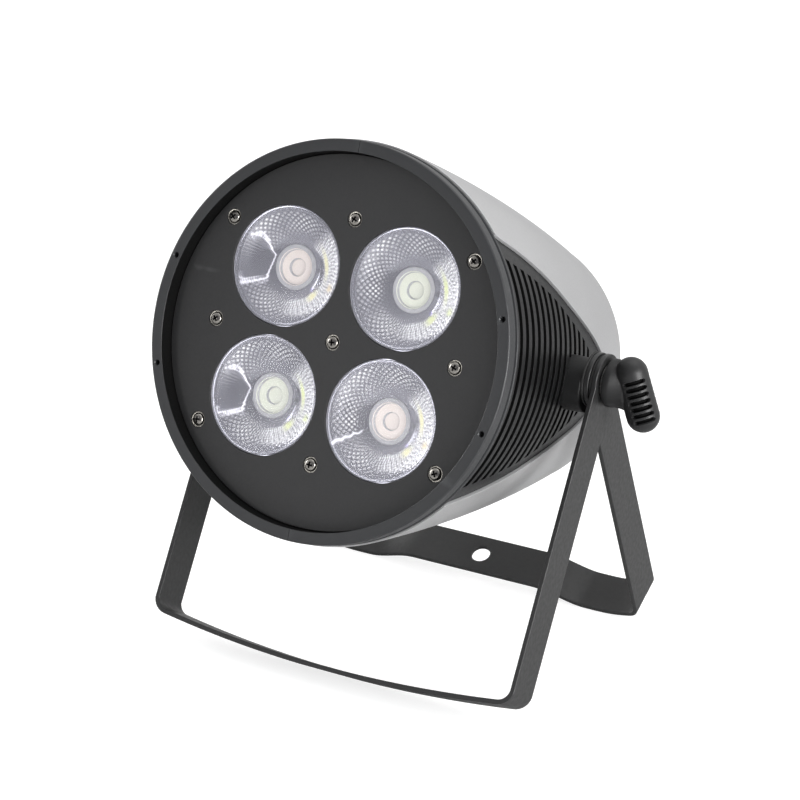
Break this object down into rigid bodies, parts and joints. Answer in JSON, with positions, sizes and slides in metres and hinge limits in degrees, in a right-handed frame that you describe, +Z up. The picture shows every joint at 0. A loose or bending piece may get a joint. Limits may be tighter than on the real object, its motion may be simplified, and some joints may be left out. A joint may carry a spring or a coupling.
{
  "type": "par can light",
  "caption": "LED par can light: round tapered housing with deep rim and clear collimator lenses, silver covers, slotted sides, and a double yoke that opens into a floor stand.",
  "frame": {"origin": "middle of the bounding box, on the floor the two yokes stand on", "axes": "+Z up, beam towards -Y and tilted up, +X towards the viewer's right when facing the lenses; the clamp axis runs along X"},
  "size_m": [0.3284, 0.3204, 0.3438],
  "materials": {
    "housing_black": "fine moulded texture",
    "cover_silver": "satin silver paint on sheet",
    "face_plate_black": "fine matt powder coat",
    "screw_nickel": "dark nickel plate",
    "lens_clear": "clear moulded optic",
    "holder_black": "plain moulded",
    "led_phosphor": "phosphor resin",
    "heat_sink_aluminium": "extruded",
    "circuit_board": "solder mask",
    "display_clear": "smoked window",
    "socket_black": "moulded",
    "button_rubber": "matt",
    "zinc_steel": "zinc plate",
    "washer_rubber": "matt",
    "yoke_black": "satin powder coat",
    "lever_black": "fine moulded texture"
  },
  "bodies": {
    "rear_yoke": {"rear_yoke": "yoke_black"},
    "front_yoke": {"front_yoke": "yoke_black"},
    "head": {"right_side_frame": "housing_black", "left_side_frame": "housing_black", "top_cover": "cover_silver", "bottom_cover": "cover_silver", "face_plate": "face_plate_black", "face_screw_centre": "screw_nickel", "face_screw_right": "screw_nickel", "face_screw_left": "screw_nickel", "face_screw_top": "screw_nickel", "face_screw_bottom": "screw_nickel", "face_screw_top_right": "screw_nickel", "face_screw_top_left": "screw_nickel", "face_screw_bottom_left": "screw_nickel", "face_screw_bottom_right": "screw_nickel", "lens_top_left": "lens_clear", "lens_holder_top_left": "holder_black", "led_chip_top_left": "led_phosphor", "rear_screw_top_left": "screw_nickel", "lens_top_right": "lens_clear", "lens_holder_top_right": "holder_black", "led_chip_top_right": "led_phosphor", "rear_screw_top_right": "screw_nickel", "lens_bottom_left": "lens_clear", "lens_holder_bottom_left": "holder_black", "led_chip_bottom_left": "led_phosphor", "rear_screw_bottom_left": "screw_nickel", "lens_bottom_right": "lens_clear", "lens_holder_bottom_right": "holder_black", "led_chip_bottom_right": "led_phosphor", "rear_screw_bottom_right": "screw_nickel", "heat_sink": "heat_sink_aluminium", "fan_frame": "holder_black", "power_supply": "heat_sink_aluminium", "control_board": "circuit_board", "rear_panel": "face_plate_black", "display_window": "display_clear", "dmx_in_socket": "socket_black", "dmx_out_socket": "socket_black", "power_inlet": "socket_black", "power_outlet": "socket_black", "safety_eye": "zinc_steel", "right_clamp_nut": "zinc_steel", "right_inner_washer": "washer_rubber", "right_middle_washer": "washer_rubber", "right_outer_washer": "zinc_steel", "left_clamp_nut": "zinc_steel", "left_inner_washer": "washer_rubber", "left_middle_washer": "washer_rubber", "left_outer_washer": "zinc_steel"},
    "right_lever": {"right_clamp_lever": "lever_black", "right_clamp_stud": "zinc_steel"},
    "left_lever": {"left_clamp_lever": "lever_black", "left_clamp_stud": "zinc_steel"},
    "fan": {"fan_rotor": "holder_black"},
    "button_menu": {"button_menu": "button_rubber"},
    "button_down": {"button_down": "button_rubber"},
    "button_up": {"button_up": "button_rubber"},
    "button_enter": {"button_enter": "button_rubber"}
  },
  "joints": [
    {"name": "head_tilt", "type": "hinge", "parent": "rear_yoke", "child": "head", "pos_m": [0, -0.0013, 0.19576], "axis": [1, 0, 0], "range_deg": [-70, 100]},
    {"name": "front_yoke_swing", "type": "hinge", "parent": "rear_yoke", "child": "front_yoke", "pos_m": [0, -0.0013, 0.19576], "axis": [1, 0, 0], "range_deg": [-120, 45]},
    {"name": "right_lever_turn", "type": "hinge", "parent": "head", "child": "right_lever", "pos_m": [0, -0.0013, 0.19576], "axis": [1, 0, 0], "range_deg": [0, 270]},
    {"name": "left_lever_turn", "type": "hinge", "parent": "head", "child": "left_lever", "pos_m": [0, -0.0013, 0.19576], "axis": [-1, 0, 0], "range_deg": [0, 270]},
    {"name": "fan_spin", "type": "hinge", "parent": "head", "child": "fan", "pos_m": [0, 0.03386, 0.17988], "axis": [0, -0.9543, 0.2989], "continuous": true},
    {"name": "button_menu_press", "type": "slide", "parent": "head", "child": "button_menu", "axis": [0, -0.9543, 0.2989], "range_m": [0, 0.0008]},
    {"name": "button_down_press", "type": "slide", "parent": "head", "child": "button_down", "axis": [0, -0.9543, 0.2989], "range_m": [0, 0.0008]},
    {"name": "button_up_press", "type": "slide", "parent": "head", "child": "button_up", "axis": [0, -0.9543, 0.2989], "range_m": [0, 0.0008]},
    {"name": "button_enter_press", "type": "slide", "parent": "head", "child": "button_enter", "axis": [0, -0.9543, 0.2989], "range_m": [0, 0.0008]}
  ]
}
